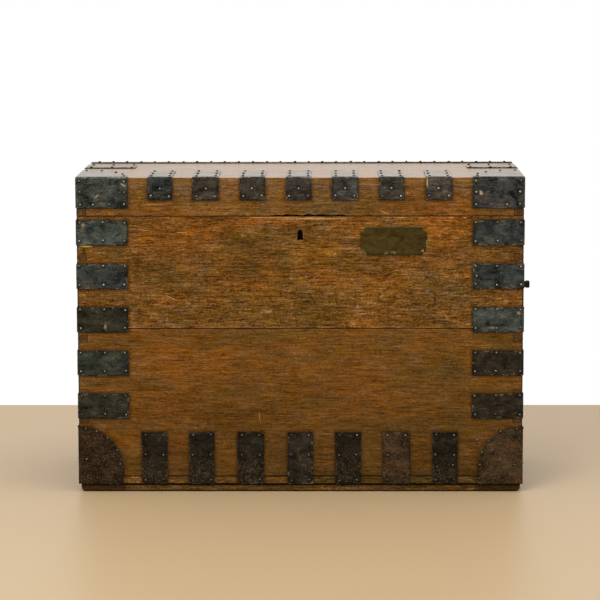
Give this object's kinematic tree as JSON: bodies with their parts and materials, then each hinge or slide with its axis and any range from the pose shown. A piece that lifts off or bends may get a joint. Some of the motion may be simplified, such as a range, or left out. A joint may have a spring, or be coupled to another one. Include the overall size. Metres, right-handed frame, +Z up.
{
  "type": "metal-bound trunk",
  "caption": "Dovetailed wooden storage trunk bound with nailed iron straps and corner plates, with a hinged lid, an inside lock with a sliding bolt, a bare brass plate and a drop handle on each end.",
  "frame": {"origin": "on the floor, under the middle of the whole trunk, hinge knuckles and strap faces included", "axes": "+X to the trunk's right as seen from the front, +Y from the front to the hinged back, +Z up"},
  "size_m": [0.7936, 0.324, 0.5443],
  "materials": {
    "case_wood": "old oiled brown board, stained and scuffed",
    "lid_wood": "old oiled brown board, worn smooth with a soft sheen",
    "strap_iron": "dark blued sheet iron, slightly rough",
    "rusty_iron": "dark sheet iron, rusty and pitted",
    "aged_brass": "tarnished brass with a worn edge",
    "forged_iron": "black forged iron"
  },
  "bodies": {
    "case": {"back_board": "case_wood", "bottom_board": "case_wood", "brass_plate": "aged_brass", "foot_strap_1": "rusty_iron", "foot_strap_2": "rusty_iron", "foot_strap_3": "rusty_iron", "foot_strap_4": "rusty_iron", "foot_strap_5": "rusty_iron", "foot_strap_6": "rusty_iron", "foot_strap_7": "rusty_iron", "front_board_lower": "case_wood", "front_board_upper": "case_wood", "front_left_corner_plate": "rusty_iron", "front_right_corner_plate": "rusty_iron", "front_runner": "case_wood", "left_corner_strap_1": "strap_iron", "left_corner_strap_2": "strap_iron", "left_corner_strap_3": "strap_iron", "left_corner_strap_4": "strap_iron", "left_corner_strap_5": "strap_iron", "left_end_board": "case_wood", "left_handle_front_stud": "forged_iron", "left_handle_rear_stud": "forged_iron", "left_hinge_case_leaf": "forged_iron", "lock_case": "forged_iron", "rear_left_corner_plate": "rusty_iron", "rear_right_corner_plate": "rusty_iron", "rear_runner": "case_wood", "right_corner_strap_1": "strap_iron", "right_corner_strap_2": "strap_iron", "right_corner_strap_3": "strap_iron", "right_corner_strap_4": "strap_iron", "right_corner_strap_5": "strap_iron", "right_end_board": "case_wood", "right_handle_front_stud": "forged_iron", "right_handle_rear_stud": "forged_iron", "right_hinge_case_leaf": "forged_iron"},
    "lid": {"left_hinge_lid_leaf": "forged_iron", "lid_back_edge_iron": "strap_iron", "lid_back_rail": "lid_wood", "lid_front_rail": "lid_wood", "lid_left_corner_cap": "strap_iron", "lid_left_end_strap": "strap_iron", "lid_left_rail": "lid_wood", "lid_right_corner_cap": "strap_iron", "lid_right_end_strap": "strap_iron", "lid_right_rail": "lid_wood", "lid_strap_1": "strap_iron", "lid_strap_2": "strap_iron", "lid_strap_3": "strap_iron", "lid_strap_4": "strap_iron", "lid_strap_5": "strap_iron", "lid_strap_6": "strap_iron", "lid_strap_7": "strap_iron", "lid_top_board": "lid_wood", "lock_hook_plate": "forged_iron", "right_hinge_lid_leaf": "forged_iron"},
    "left_bail": {"left_bail": "forged_iron"},
    "right_bail": {"right_bail": "forged_iron"},
    "lock_bolt": {"lock_bolt": "forged_iron"}
  },
  "joints": [
    {"name": "lid_hinge", "type": "hinge", "parent": "case", "child": "lid", "pos_m": [0, 0.157, 0.4763], "axis": [-1, 0, 0], "range_deg": [0, 100]},
    {"name": "left_bail_swing", "type": "hinge", "parent": "case", "child": "left_bail", "pos_m": [-0.385, -0.0045, 0.3482], "axis": [0, 1, 0], "range_deg": [0, 170]},
    {"name": "right_bail_swing", "type": "hinge", "parent": "case", "child": "right_bail", "pos_m": [0.385, -0.0045, 0.3482], "axis": [0, -1, 0], "range_deg": [0, 170]},
    {"name": "lock_bolt_slide", "type": "slide", "parent": "case", "child": "lock_bolt", "axis": [-1, 0, 0], "range_m": [0, 0.008]}
  ]
}
